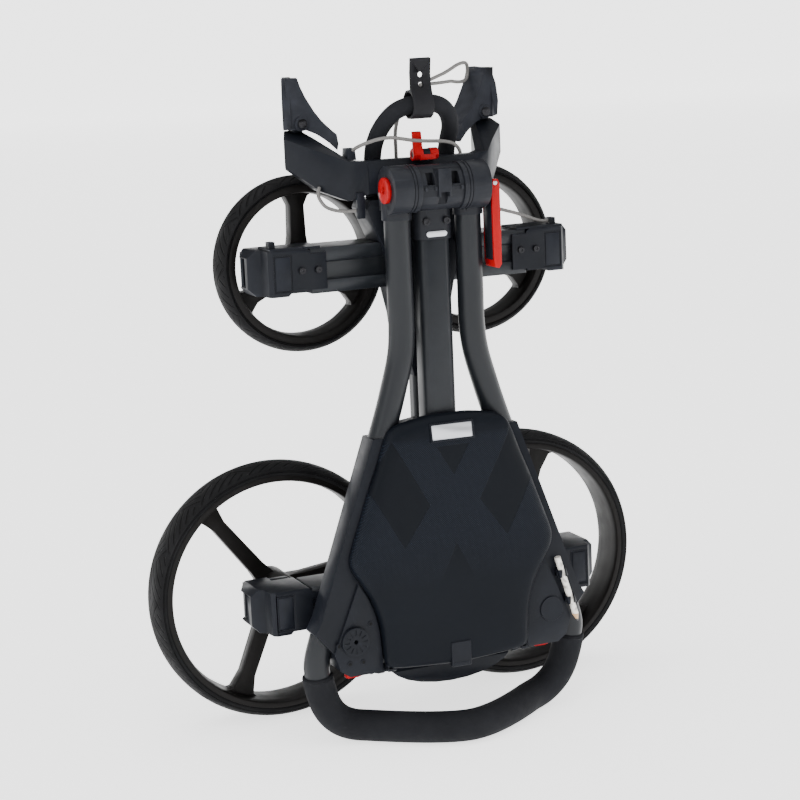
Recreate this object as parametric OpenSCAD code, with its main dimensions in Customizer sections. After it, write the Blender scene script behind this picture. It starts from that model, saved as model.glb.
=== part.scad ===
// Folding four-wheel golf push cart, shown folded flat.
// Millimetres. X is across the cart, +Y is towards the wheels, +Z is up.
// The origin is on the floor, under the middle of the folded cart.

/* [Rear wheels] */
// Outer radius of a rear wheel
rear_r = 150; // [145:1:152]
// Width of a rear tyre
rear_w = 51; // [44:1:52]
// Distance of each rear wheel's centre from the middle
rear_x = 153; // [152:0.5:154]

/* [Front wheels] */
// Outer radius of a front wheel
front_r = 100; // [94:1:101]
// Width of a front tyre
front_w = 41; // [36:1:42]
// Distance of each front wheel's centre from the middle
front_x = 106.5; // [104:0.5:108]
// Height of the front wheels' centres when folded
front_z = 525; // [522:1:528]

/* [Handle] */
// Radius of the handle bar
bar_r = 14.5; // [13:0.5:14.5]
// Radius of the foam grip
grip_r = 17.5; // [16:0.5:18]
// Radius of the hinge drum
drum_r = 26; // [24:0.5:26]
// Half of the hinge drum's length
drum_half = 56.5; // [56:0.5:58]

/* [Frame] */
// Width of the main tube
main_w = 38; // [34:1:38]
// Depth of the main tube
main_d = 30; // [26:1:30]
// Wall of the main tube
main_wall = 2; // [1.5:0.5:3]
// Radius of the bag rest's tube
arch_r = 9.5; // [8:0.5:9.5]

/* [Console] */
// Half width of the lid at its lower corners
lid_half = 88; // [87:0.5:88.5]
// Half width of the lid at its widest
lid_wide = 122; // [120:0.5:122]
// Wall of the console's tub and lid
shell = 2.5; // [2:0.25:3]

/* [Hidden] */
$fn = 64;

plastic = [0.10, 0.11, 0.13];
satin = [0.17, 0.18, 0.20];
rubber = [0.08, 0.08, 0.08];
foam = [0.07, 0.07, 0.08];
steel = [0.62, 0.63, 0.65];
red = [0.80, 0.05, 0.05];
silver = [0.75, 0.76, 0.78];
grey = [0.33, 0.32, 0.31];
white = [0.88, 0.87, 0.84];

gap = 0.3;         // air between faces of different bodies
run = 0.05;        // running clearance of a pin in its bore
slot_gap = 0.4;    // air at each end of a hinge barrel

// Wheels: a Y of each set's middle plane and the folding pin behind each arm end
rear_y = 95;
rear_z = rear_r;
front_y = 85;
rear_pin = [196, 33];
front_pin = [178, 30];
pin_r = 5;
barrel_r = 11;
axle_r = 6;
tyre_rear = 13;    // thickness of a rear tyre
tyre_front = 10;
lip_rear = 6;      // depth of a rear rim's lip
lip_front = 8;

// Hinge drum at the top and the handle's line below it
drum_y = -63;
drum_z = 613;
core_half = 24.5;
axle_drum_r = 8;
tube_x = 42;
tube_y = -53;
socket_r = 16.5;
tube_top = 592;

// Main tube
main_y = -45;
main_low = 96;
main_high = 590;
main_round = 10;

// Pivot of the folding front frame
fold_y = 46;
fold_z = 192;
fold_r = 6;

// One half of the handle bar's centre line, from the drum to the middle of the grip
bar_half = [
  [42, -53, 592], [42, -53, 545], [42, -53, 500], [42, -53, 462], [45, -53, 432],
  [54, -52.5, 398], [68, -52, 354], [101, -49, 262], [131, -46.5, 178],
  [150, -44.5, 124], [157, -43.5, 99], [156.5, -42, 84], [154, -40.5, 70],
  [150.5, -39.5, 57], [146, -38.5, 45], [139, -38, 34], [129, -38.5, 25],
  [116, -42.5, 19.5], [99, -51, 17.7], [80, -65, 17.5], [60, -79, 17.5],
  [40, -91, 17.5], [20, -100, 17.5], [0, -104, 17.5]
];
grip_start = 11;   // the grip begins at this point of the bar's centre line
bar_steps = 2;

// Bag rest's centre line, from one foot to the top
arch_half = [
  [43.5, 4, 600], [44, 4.5, 622], [44.2, 3, 643], [44, -3, 658], [42.5, -14, 672],
  [37, -24, 685], [28, -31.5, 695], [15, -38, 700.5], [0, -41, 702]
];

// Elastic cord over the bracket's bar
bar_route = [
  [-76, -2, 645], [-74, -7, 652], [-69, -16, 658], [-61, -28, 663], [-52, -38, 666.5],
  [-41, -44, 667.5], [-31, -46.5, 666], [-18, -48, 663.5], [-6, -48, 662], [6, -46, 661],
  [18, -41, 660], [28, -36, 658.5], [37, -32, 656], [43, -29, 652.5], [47, -27, 648],
  [48.6, -25.6, 644.3]
];
// Elastic cord that hangs under the left wing
side_route = [
  [-105.9, 8.4, 615.3], [-108, 6.5, 611.5], [-108.8, 4.8, 606], [-106.5, 3, 600],
  [-102.5, 0, 594.5], [-97, -5.5, 591.5], [-91, -11, 590], [-84, -15, 589.5],
  [-78.6, -19.2, 589.8], [-75.4, -23, 590.5], [-74.4, -26.3, 591.3]
];
// Elastic cord from the bag rest's strap over to the right
strap_route = [
  [-8, 14, 600.5], [-10, 13, 614], [-12, 12, 632], [-13, 10, 652], [-13.5, 8, 670],
  [-12, 2, 686], [-9.5, -8, 700], [-6, -21, 711], [0, -32, 719.5], [9, -35, 725],
  [24, -24, 728.5], [41, -8, 731.5], [57, 9, 735], [72, 27, 738], [86, 43, 739.5],
  [95, 53, 739], [100, 59.5, 735.5], [101.2, 61.5, 729], [99.5, 60, 722.5],
  [94, 54.5, 719.5], [84, 45, 718.5], [72, 32, 719.5], [60, 16, 721], [48, 0, 721.5],
  [33, -15, 721.5], [19, -25.5, 721.5], [7, -33, 721.6], [-1, -38.5, 721.8], [-5, -46.6, 722]
];
// Pull cable of the right front wheel's fold
cable_route = [
  [63.2, -3.6, 586.3], [71, -5.5, 584.2], [80, -8, 582], [92, -9.5, 579], [102, -10, 577],
  [112, -9.5, 574], [122, -8, 571], [132, -6.5, 567.5], [141, -5, 564], [150, -3.5, 560.7],
  [158, -2, 558.6], [165.6, -0.8, 558]
];
cord_r = 2;
cord_sides = 8;

function unit(v) = v / norm(v);
function last(p) = len(p) - 1;
function flip_x(p) = [-p[0], p[1], p[2]];
// A full centre line from its right half: left end first
function both_sides(half) = concat(
  [for (p = half) flip_x(p)],
  [for (i = [last(half) - 1:-1:0]) half[i]]
);
// Smooth curve through the points p, with n steps between neighbours
function curve_at(a, b, c, d, t) = 0.5 * (2 * b + (c - a) * t
  + (2 * a - 5 * b + 4 * c - d) * t * t + (3 * b - a - 3 * c + d) * t * t * t);
function smooth(p, n) = concat(
  [for (i = [0:last(p) - 1]) for (k = [0:n - 1])
    curve_at(p[max(i - 1, 0)], p[i], p[i + 1], p[min(i + 2, last(p))], k / n)],
  [p[last(p)]]
);
function along(p, i) = unit(p[min(i + 1, last(p))] - p[max(i - 1, 0)]);
function ring_at(c, t, up, r, sides) =
  let (a = unit(cross(t, up)), b = cross(t, a))
  [for (k = [0:sides - 1]) c + r * (cos(360 * k / sides) * a + sin(360 * k / sides) * b)];
function rings(p, r, up, sides) =
  [for (i = [0:last(p)]) each ring_at(p[i], along(p, i), up, r, sides)];
function wall_faces(count, n, first, out) =
  [for (i = [0:count - 2]) for (k = [0:n - 1])
    let (a = first + i * n + k, b = a + n,
         d = first + i * n + (k + 1) % n, c = d + n)
    each out ? [[a, b, c], [a, c, d]] : [[a, c, b], [a, d, c]]];

// Solid rod that follows the points p
module sweep_rod(p, r, up, sides) {
  count = len(p);
  polyhedron(
    points = rings(p, r, up, sides),
    faces = concat(
      wall_faces(count, sides, 0, true),
      [[for (k = [0:sides - 1]) k]],
      [[for (k = [sides - 1:-1:0]) (count - 1) * sides + k]]
    )
  );
}

// Hollow tube that follows the points p
module sweep_tube(p, r, bore, up, sides) {
  count = len(p);
  inside = count * sides;
  end = (count - 1) * sides;
  polyhedron(
    points = concat(rings(p, r, up, sides), rings(p, bore, up, sides)),
    faces = concat(
      wall_faces(count, sides, 0, true),
      wall_faces(count, sides, inside, false),
      [for (k = [0:sides - 1]) let (n = (k + 1) % sides)
        each [[k, n, inside + n], [k, inside + n, inside + k]]],
      [for (k = [0:sides - 1]) let (n = (k + 1) % sides)
        each [[end + k, inside + end + k, inside + end + n],
              [end + k, inside + end + n, end + n]]]
    )
  );
}

// Draws its children on the right, or mirrored on the left
module on_side(s) {
  if (s < 0) mirror([1, 0, 0]) children();
  else children();
}
// A box from its low corner to its high corner
module block(low, high) { translate(low) cube(high - low); }
module rod_x(c, r, length) {
  translate(c) rotate([0, 90, 0]) cylinder(r = r, h = length, center = true);
}
module rod_y(c, r, length) {
  translate(c) rotate([90, 0, 0]) cylinder(r = r, h = length, center = true);
}
module rod_z(c, r, length) { translate(c) cylinder(r = r, h = length, center = true); }
// An outline of [y, z] points, thick along X from x0 to x1
module plate_x(points, x0, x1) {
  translate([x0, 0, 0]) rotate([90, 0, 90]) linear_extrude(x1 - x0) polygon(points);
}
// An outline of [x, z] points, thick along Y from y0 to y1
module plate_y(points, y0, y1) {
  translate([0, y1, 0]) rotate([90, 0, 0]) linear_extrude(y1 - y0) polygon(points);
}
module round_rect(w, d, r) {
  union() {
    square([w - 2 * r, d], center = true);
    square([w, d - 2 * r], center = true);
    for (x = [-1, 1]) for (y = [-1, 1])
      translate([x * (w / 2 - r), y * (d / 2 - r)]) circle(r);
  }
}
// Button-head screw, its head facing -Y at depth y
module screw(x, y, z, r = 3.6) {
  difference() {
    rod_y([x, y + 1.5, z], r, 3);
    translate([x, y + 0.9, z]) rotate([90, 0, 0]) cylinder(r = r * 0.5, h = 2, $fn = 6);
  }
}

// ---------------------------------------------------------------- main frame
module main_section(grow) {
  translate([0, main_y]) round_rect(main_w + 2 * grow, main_d + 2 * grow, main_round + grow);
}
module main_tube() {
  color(satin) difference() {
    translate([0, 0, main_low]) linear_extrude(main_high - main_low) main_section(0);
    translate([0, 0, main_low - 1]) linear_extrude(main_high - main_low + 2)
      main_section(-main_wall);
  }
}

bar_front = -34;
bar_back = -10;
bar_low = 608;
bar_top = 643;
bar_face = [[bar_front, bar_low], [bar_front, 634], [bar_front + 5, bar_top]];
collar_low = 556;
collar_grow = 2.5;
module drum_core() {
  color(plastic) difference() {
    union() {
      rod_x([0, drum_y, drum_z], drum_r - 1.5, 2 * core_half);
      translate([0, 0, collar_low]) linear_extrude(604 - collar_low) main_section(collar_grow);
      plate_x([[-60, 598], [bar_front, bar_low], [bar_front, 634], [-60, 637]], -22, 22);
      block([-7.5, -91, 604], [7.5, -70, 634]);
      for (x = [-22.5, -11, 8, 19.5]) block([x, -89.5, 611], [x + 3, -70, 615]);
    }
    translate([0, 0, collar_low - 1]) linear_extrude(main_high - collar_low + 1) main_section(0);
    rod_x([0, drum_y, drum_z], axle_drum_r + run, 80);
    for (s = [-1, 1]) block([s * 14.5 - 4.5, -92, 617], [s * 14.5 + 4.5, -74, 630]);
    block([-5, -92, 596], [5, -80, 609]);
  }
}
module collar_plate() {
  color(silver) hull() for (x = [-9, 9])
    rod_y([x, main_y - main_d / 2 - collar_grow - 0.5, 562], 3, 1);
}
module chassis_screws() {
  color(steel) {
    for (x = [-12, 12]) screw(x, main_y - main_d / 2 - collar_grow - 3, 576, 4);
    for (s = [-1, 1]) on_side(s) for (x = [128, 146]) screw(x, rear_front - 6, rear_mid + 4);
  }
}

// ---------------------------------------------------------------- bag bracket
bar_end = 64;
knuckle = [111, 61, 684];
pad_pin_r = 3;
head_at = knuckle[1] - 24.1;   // middle of the pin's head, in front of the pad
hook_at = [1, -37, 647];
module bracket_bar() {
  color(plastic) difference() {
    union() {
      plate_x(concat(bar_face, [[bar_back - 2, bar_top], [bar_back, bar_top - 3],
        [bar_back, bar_low + 3], [bar_back - 3, bar_low]]), -bar_end, bar_end);
      block([-3.4, -40, bar_top - 4], [5.4, -20, 650]);
      rod_x(hook_at, 6, 8.8);
    }
    for (s = [-1, 1]) block([s * 40 - 16, -24, bar_low - 1], [s * 40 + 16, -14, bar_low + 20]);
  }
  color(plastic) rod_x(hook_at, 3.2, 29);
}
wing_root = [[bar_front, bar_low], [bar_front, 634], [bar_front + 5, bar_top],
  [bar_back - 2, bar_top], [bar_back, bar_top - 3], [bar_back, bar_low]];
// Frame of the pad's plate: +X is out of the cart through the plate, 0 is its outer face
plate_turn = 22.6;
module plate_at(depth) {
  translate([knuckle[0] + 13.6, knuckle[1], 0]) rotate([0, 0, plate_turn]) translate([depth, 0, 0]) children();
}
// Box-section arm that runs out and back from the bar's end to the pad's knuckle
module bracket_wing(s) {
  on_side(s) color(plastic) difference() {
    union() {
      hull() {
        plate_x(wing_root, bar_end, bar_end + 1);
        block([80, -22, 601], [84, 4, 644]);
      }
      hull() {
        block([80, -22, 601], [84, 4, 644]);
        block([98, 8, 611], [104, 32, 654]);
        block([98, 34, 625], [104, 52, 666]);
      }
      hull() {
        block([98, 8, 611], [104, 32, 654]);
        block([98, 34, 625], [104, 52, 666]);
        block([107, 46, 638], [133, 54, 669]);
        block([107, 58, 638], [129, 69, 675.4]);
      }
      block([knuckle[0] - 6, knuckle[1] - 6.7, 665], [knuckle[0] + 6, knuckle[1] + 6.7, knuckle[2]]);
      rod_y(knuckle, 7, 13.4);
      // lug under the arm for a cord's end
      block([70, -33, 582], [78, -27, bar_low + 2]);
    }
    rod_y(knuckle, pad_pin_r, 80);
    // the arm's end is flush with the pad's plate
    plate_at(0) block([0, -60, 600], [40, 60, 700]);
  }
}
module bracket_wing_left() { bracket_wing(-1); }
module bracket_wing_right() { bracket_wing(1); }
module pad_pins() {
  color(steel) for (s = [-1, 1]) on_side(s) {
    rod_y([knuckle[0], knuckle[1] - 5, knuckle[2]], pad_pin_r, 40);
    rod_y([knuckle[0], head_at, knuckle[2]], 5, 2);
  }
}
// Rubber-faced horn that rocks on the knuckle's pin; its front face runs back towards the plate
plate_line = [[-15, 679], [-8, 677], [26, 677], [27, 700], [24, 726], [18, 734], [8, 733],
  [-6, 733], [-14, 715], [-17, 695]];
horn_line = [[-4.2, 733], [-17.8, 733], [-20.5, 724], [-25.6, 712.4], [-34.3, 697],
  [-43, 685], [-54.6, 673.5], [-58.2, 670.4], [-59.8, 660], [-58.2, 652.5], [-48.8, 662],
  [-40.5, 668.2], [-34.6, 672], [-23.1, 677], [-6.3, 677]];
horn_turn = 17.6;
module pad(s) {
  on_side(s) color(plastic) difference() {
    union() {
      translate([knuckle[0] + 19, knuckle[1] - 14, 0]) rotate([0, 0, horn_turn]) plate_y(horn_line, 0, 30);
      rod_y([knuckle[0], head_at + 4.1, knuckle[2]], 8, 6);
      plate_at(0) plate_x(plate_line, -9, 0);
    }
    rod_y(knuckle, pad_pin_r + run, 80);
    // slot around the knuckle, wide enough for the pad to rock
    block([knuckle[0] - 9, knuckle[1] - 7.5, 600], [knuckle[0] + 9, knuckle[1] + 7.5, knuckle[2]]);
    rod_y(knuckle, 9, 15);
  }
}
module pad_left() { pad(-1); }
module pad_right() { pad(1); }
// Red hook that clips over the bar and holds the cord
module cord_hook() {
  color(red) difference() {
    union() {
      rod_x([-8.9, hook_at[1], hook_at[2]], 6.5, 10.4);
      rod_x([10.4, hook_at[1], hook_at[2]], 6.5, 9.2);
      block([-8, -46.5, 641.5], [10, -43.4, 647]);
      plate_x([[-43, 642], [-46, 647], [-42.5, 656], [-40.5, 671], [-37, 672],
        [-38.5, 656], [-36, 650]], -14, -3.8);
    }
    rod_x(hook_at, 3.2 + run, 60);
  }
}
// Clip on the left wing that the bar's cord comes out of
module cord_clip() {
  color(plastic) difference() {
    plate_x([[-14, 644.1], [-11, 656], [0, 657], [3.5, 644.1]], -80, -70);
    sweep_rod(smooth([for (i = [0:3]) bar_route[i]], 2), cord_r + 0.3, [0, 0, 1], cord_sides);
  }
}
module bar_cord() {
  color(grey) sweep_rod(smooth(bar_route, 2), cord_r, [0, 0, 1], cord_sides);
}
module side_cord() {
  color(grey) sweep_rod(smooth(side_route, 2), cord_r, [0, 1, 0], cord_sides);
}

// ---------------------------------------------------------------- rear axle
rear_front = -20;   // front face of the rear arms
rear_back = 31;
rear_mid = 153;     // middle height of the rear arms
rear_inner = 150;   // where the arms end inside the blocks
module rear_casting() {
  color(plastic) difference() {
    union() {
      block([-45, -29.5, rear_z - 30], [45, rear_back, rear_z + 34]);
      block([-22.4, -58, rear_z - 30], [22.4, -29.5, rear_z + 34]);
      for (s = [-1, 1]) on_side(s)
        plate_x([[10, 170], [fold_y + 9, fold_z - 9], [fold_y + 11, fold_z],
          [fold_y + 9, fold_z + 9], [20, fold_z + 8], [10, 184]], 16.4, 26);
    }
    translate([0, 0, 90]) linear_extrude(130) main_section(0);
    rod_x([0, fold_y, fold_z], fold_r, 80);
  }
}
arm_profile = [[0, -27], [0, -12], [3, -10], [3, 9], [0, 11], [0, 27],
  [49, 27], [51, 22], [51, -22], [49, -27]];
module rear_arms() {
  color(satin) for (s = [-1, 1]) on_side(s) difference() {
    plate_x([for (p = arm_profile) [rear_front + p[0], rear_mid + p[1] * 0.9]], 45, rear_inner);
    block([44, rear_front + 7, rear_mid - 18], [rear_inner + 1, rear_back - 5, rear_mid + 18]);
  }
}
// Arm end that holds the wheel's folding pin between an upper and a lower ear
module end_block(pin, z, half, front, back, start, end, clear) {
  difference() {
    intersection() {
      translate([0, 0, z - half]) linear_extrude(2 * half) polygon([[start, front],
        [end - 20, front], [end - 16, front + 4], [end - 14, front + 20], [end, front + 27],
        [end, back - 8], [end - 5.5, back], [start, back]]);
      plate_y([[start, z - half + 3], [start + 24, z - half + 3], [start + 27, z - half],
        [end - 8, z - half], [end, z - half + 8], [end, z + half - 8], [end - 8, z + half],
        [start + 4, z + half], [start, z + half - 3]], front - 1, back + 1);
    }
    // slot for the swinging barrel and its neck, open to the outside and the back
    block([pin[0] - barrel_r - 2, pin[1] - barrel_r - 2, z - clear],
      [end + 5, back + 5, z + clear]);
    // raised panel's edge on the front face
    difference() {
      block([end - 42, front - 1, z - half + 5], [end - 21, front + 1, z + half - 5]);
      block([end - 40, front - 2, z - half + 7], [end - 23, front + 2, z + half - 7]);
    }
  }
  rod_z([pin[0], pin[1], z], pin_r, 2 * half - 4);
}
module rear_block(s) {
  on_side(s) color(plastic) difference() {
    end_block(rear_pin, rear_mid, 25, rear_front - 3, 46, rear_inner, 213.5, 16);
    block([rear_inner - 1, rear_back, 100], [rear_pin[0] - barrel_r - 6, 60, 200]);
  }
  on_side(s) color(plastic) difference() {
    block([118, rear_front - 3, rear_mid - 18], [rear_inner, rear_front, rear_mid + 20]);
    block([124, rear_front - 4, rear_mid - 3], [152, rear_front - 2, rear_mid + 12]);
  }
}
module rear_block_left() { rear_block(-1); }
module rear_block_right() { rear_block(1); }
module fold_pin() {
  color(steel) rod_x([0, fold_y, fold_z], fold_r, 56);
}

// ---------------------------------------------------------------- handle
bar_line = smooth(both_sides(bar_half), bar_steps);
grip_first = grip_start * bar_steps;
grip_line = [for (i = [grip_first:last(bar_line) - grip_first]) bar_line[i]];
bar_sides = 16;
module handle_bar() {
  color(satin) sweep_tube(bar_line, bar_r, bar_r - 2, [0, 1, 0], bar_sides);
}
module foam_grip() {
  color(foam) sweep_tube(grip_line, grip_r, bar_r, [0, 1, 0], bar_sides);
}
// One half of the hinge drum, with the socket of its handle tube
module drum_half_shape() {
  difference() {
    union() {
      rod_x([(core_half + gap + drum_half) / 2, drum_y, drum_z], drum_r,
        drum_half - core_half - gap);
      rod_z([tube_x, tube_y, 594], socket_r, 28);
      block([tube_x - 14, drum_y + 8, 590], [tube_x + 14, tube_y + 14, drum_z]);
    }
    rod_x([tube_x, drum_y, drum_z], axle_drum_r, 60);
    translate([tube_x, tube_y, 570]) cylinder(r = bar_r, h = tube_top - 570);
    for (x = [30, 33.5]) rotate_ring(x);
    // keeps the socket clear of the main tube's collar
    block([0, -80, 560], [core_half + gap, -20, 650]);
  }
}
// A shallow groove around the drum at x
module rotate_ring(x) {
  translate([x, drum_y, drum_z]) rotate([0, 90, 0]) difference() {
    cylinder(r = drum_r + 1, h = 1.2);
    translate([0, 0, -1]) cylinder(r = drum_r - 0.9, h = 4);
  }
}
module drum_half_left() { color(plastic) on_side(-1) drum_half_shape(); }
module drum_half_right() {
  color(plastic) {
    drum_half_shape();
    difference() {
      rod_x([drum_half + 2, drum_y, drum_z], 15.5, 4);
      rod_x([drum_half + 2.5, drum_y, drum_z], axle_drum_r, 8);
    }
  }
}
lever_pin = [66.5, drum_y, drum_z];
module drum_axle() {
  color(steel) union() {
    rod_x([1, drum_y, drum_z], axle_drum_r, 2 * drum_half + 2);
    block([56, drum_y - 2.5, drum_z - 5], [lever_pin[0], drum_y + 2.5, drum_z + 5]);
    rod_y(lever_pin, 5, 5);
    rod_y(lever_pin, 2.5, 24);
  }
}
module end_cap() {
  color(red) difference() {
    rod_x([-drum_half - 2, drum_y, drum_z], 14, 4);
    translate([-drum_half - 4.5, drum_y, drum_z]) rotate([0, 90, 0])
      cylinder(r = 4.5, h = 3, $fn = 6);
    rod_z([-tube_x, tube_y, 594], socket_r + 0.1, 28.4);
  }
}
// Quick-release lever, forked over the axle's eye
lever_front = drum_y - 12.5;
lever_back = drum_y + 12.5;
insert = [[61.6, lever_front + 3, 529], [65, lever_back - 3, 600]];
module release_lever() {
  color(red) difference() {
    plate_y([[61.6, 607], [61.6, 528], [63, 521], [68, 520], [71, 524], [71.5, 560],
      [71.5, 612], [69.5, 617], [64, 617.4]], lever_front, lever_back);
    block([50, drum_y - 3, drum_z - 9], [lever_pin[0] + 5.6, drum_y + 3, drum_z + 9]);
    rod_y(lever_pin, 2.5 + run, 40);
    block(insert[0] - [1, 0, 0], insert[1]);
  }
}
module lever_insert() { color(plastic) block(insert[0], insert[1]); }

// ---------------------------------------------------------------- console
lid_back = -67.5;    // plane between the lid and the tub
lid_low = 84;
// Right half of the lid's outline, from the top middle to the bottom middle
lid_half_line = [
  [0, 366], [22, 365.5], [42, 363], [58, 359.5], [68, 354], [75, 344], [98, 285],
  [120, 224], [lid_wide, 213], [120, 203], [112, 189], [101, 170], [94, 151], [90, 133],
  [lid_half, 108], [lid_half - 1, 96], [lid_half - 8, 88], [40, lid_low], [0, lid_low - 2]
];
function mirrored(half) = concat(half, [for (i = [last(half):-1:0]) [-half[i][0], half[i][1]]]);
lid_outline = mirrored([for (i = [1:last(lid_half_line)]) lid_half_line[i]]);
lid_middle = [0, 130];
// The outline drawn in towards its middle
function drawn_in(outline, kx, kz) =
  [for (p = outline) [p[0] * kx, lid_middle[1] + (p[1] - lid_middle[1]) * kz]];
hinge_z = 86;
hinge_y = -62;
ear_x = 82;         // middle of the lid's barrel
// The lid's crowned solid; inset draws every face in for its hollow
module lid_form(inset) {
  kx = inset / 100;
  kz = inset / 200;
  intersection() {
    plate_y(drawn_in(lid_outline, 1 - kx, 1 - kz), lid_back - 30, lid_back);
    hull() {
      plate_y(drawn_in(lid_outline, 1 - kx, 1 - kz), lid_back - 5 + inset, lid_back);
      plate_y(drawn_in(lid_outline, 0.955 - kx, 0.96 - kz),
        lid_back - 12 + inset, lid_back - 11 + inset);
      plate_y(drawn_in(lid_outline, 0.72, 0.85), lid_back - 16.5 + inset, lid_back - 15.5 + inset);
    }
  }
}
module console_lid() {
  color(plastic) difference() {
    union() {
      difference() {
        lid_form(0);
        translate([0, 0.6, 0]) lid_form(shell);
      }
      // frame of the plain plate, and the pull tab at the bottom
      on_shoulder() block([-plate_half - 1.5, -2, -10], [plate_half + 1.5, 6, 10]);
      plate_x([[lid_back - 15, 110], [lid_back - 18, 106], [lid_back - 18, 82],
        [lid_back - 15, 79], [lid_back - 10, 79], [lid_back - 10, 110]], -12, 12);
    }
    on_shoulder() block([-plate_half - 0.4, -5, -8.5], [plate_half + 0.4, -0.5, 8.5]);
    // room for the hinge ears of the tub
    for (s = [-1, 1]) block([s * ear_x - 11, lid_back - 5, 70], [s * ear_x + 11, -50, 95]);
  }
  // the lid's own barrels, between the ears of the tub
  color(plastic) difference() {
    for (s = [-1, 1]) on_side(s) union() {
      rod_x([ear_x, hinge_y, hinge_z], 5, 7.2);
      block([ear_x - 3.6, lid_back - 8.5, hinge_z - 1], [ear_x + 3.6, hinge_y, hinge_z + 5]);
      block([ear_x - 3.6, lid_back - 8.5, hinge_z], [ear_x + 3.6, lid_back - 3, hinge_z + 24]);
    }
    rod_x([0, hinge_y, hinge_z], 2 + run, 200);
  }
}
plate_half = 24;
module name_plate() {
  color(silver) on_shoulder() block([-plate_half, -1.7, -8.2], [plate_half, -0.5, 8.2]);
}
// Frame of the plain plate on the lid's sloping shoulder: -Y is out of the lid
shoulder_at = [0, -81.3, 347];
shoulder_tilt = -10;
module on_shoulder() {
  translate(shoulder_at) rotate([shoulder_tilt, 0, 0]) children();
}
// Tub: two deep pods beside the main tube, joined by a shallow tray
tub_back = -34;
tub_front = lid_back + 0.8;
channel = 23;
tub_half = [[0, 362], [52, 355], [56, 345], [104, 203], [97, 171], [90, 150], [86, 133],
  [85, 108], [84, 95], [77, 88], [0, 82]];
pocket_half = [[0, 345], [50, 345], [98, 205], [92, 173], [85, 150], [81, 133], [80, 104], [0, 104]];
sweep_r = 12.5;     // room that the lid's lower edge needs around its hinge
module console_tub() {
  color(plastic) difference() {
    union() {
      plate_y(mirrored(tub_half), tub_front, tub_back);
      // rounded floor below the lid
      plate_y([for (a = [180:15:360]) [76 * cos(a), 86 + 31 * sin(a)]], -55, tub_back);
    }
    // channel for the main tube
    block([-channel, tub_front + shell, 93], [channel, -20, 380]);
    // pods
    for (s = [-1, 1]) on_side(s) intersection() {
      plate_y(mirrored(pocket_half), -90, tub_back - shell);
      block([channel + shell, -90, 60], [130, 0, 380]);
    }
    // tray
    plate_y(mirrored(pocket_half), -90, tub_front + 0.5);
    // room for the lid's lower edge as it opens
    rod_x([0, hinge_y, hinge_z], sweep_r, 300);
    block([-200, -90, 40], [200, hinge_y, hinge_z + 1]);
  }
  color(plastic) for (s = [-1, 1]) on_side(s) {
    rod_x([ear_x - 7.2, hinge_y, hinge_z], 6, 6);
    block([ear_x - 10.2, hinge_y, hinge_z - 6], [ear_x - 4.2, hinge_y + 20, hinge_z + 6]);
  }
  color(steel) for (s = [-1, 1]) on_side(s) rod_x([ear_x - 1.6, hinge_y, hinge_z], 2, 11);
}
// Side panel that clamps the tub to the handle bar and carries the dial
dial = [121, -69, 124];
wing_line = [[57, 345], [105, 203], [113.5, 187], [102.5, 168.5], [95.5, 150], [91.5, 133],
  [89.5, 108], [88.8, 88], [92, 84], [128, 84], [139, 92], [145, 112], [165, 136],
  [157, 150], [87, 345]];
inner_line = [[57, 345], [105, 203], [98, 171], [91, 150], [87, 133], [86, 108], [85, 98],
  [88.8, 96], [88.8, 88], [92, 84], [128, 84], [139, 92], [145, 112], [165, 136],
  [157, 150], [87, 345]];
button_x = 116;
button_y = -46;
module bar_channel() {
  first = 5 * bar_steps;
  back = len(bar_line) - 1 - first;
  count = 6 * bar_steps;
  sweep_rod([for (i = [back - count:back]) bar_line[i]], bar_r, [0, 1, 0], bar_sides);
}
module console_wing(s) {
  on_side(s) color(plastic) difference() {
    union() {
      plate_y(inner_line, tub_front, tub_back - 2);
      plate_y([for (i = [2:last(wing_line) - 3]) wing_line[i]], -70, -60);
      rod_y([dial[0], -64.5, dial[2]], 17, 9);
      rod_x([ear_x + 7.5, hinge_y, hinge_z], 6, 7);
    }
    bar_channel();
    rod_y([dial[0], -61.5, dial[2]], 4, 30);
    // hollow behind the panel, and the button's guide
    plate_y([[94, 104], [130, 104], [130, 142], [122, 160], [112, 176], [104, 168], [96, 140]],
      -60, -30);
    block([button_x - 9.4, button_y - 4, 80], [button_x + 9.4, button_y + 4, 98]);
  }
}
module console_wing_left() { console_wing(-1); }
module console_wing_right() { console_wing(1); }
// Ribbed dial with a socket for accessories
module accessory_dial() {
  on_side(-1) color(plastic) difference() {
    union() {
      rod_y([dial[0], dial[1] - 3.4, dial[2]], 16, 4);
      rod_y([dial[0], dial[1] + 2.4, dial[2]], 4 - run, 15);
    }
    for (a = [0:30:330]) translate([dial[0], dial[1] - 5.6, dial[2]]) rotate([0, a, 0])
      translate([10.5, 0, 0]) cube([6, 2, 1.6], center = true);
    rod_y([dial[0], dial[1] - 1.5, dial[2]], 2.5, 12);
  }
}
module push_button(s) {
  on_side(s) color(red) union() {
    block([button_x - 9, button_y - 3.6, 76], [button_x + 9, button_y + 3.6, 94]);
    block([button_x - 7, button_y - 2, 75], [button_x + 7, button_y + 2, 76]);
  }
}
module button_left() { push_button(-1); }
module button_right() { push_button(1); }

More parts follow.
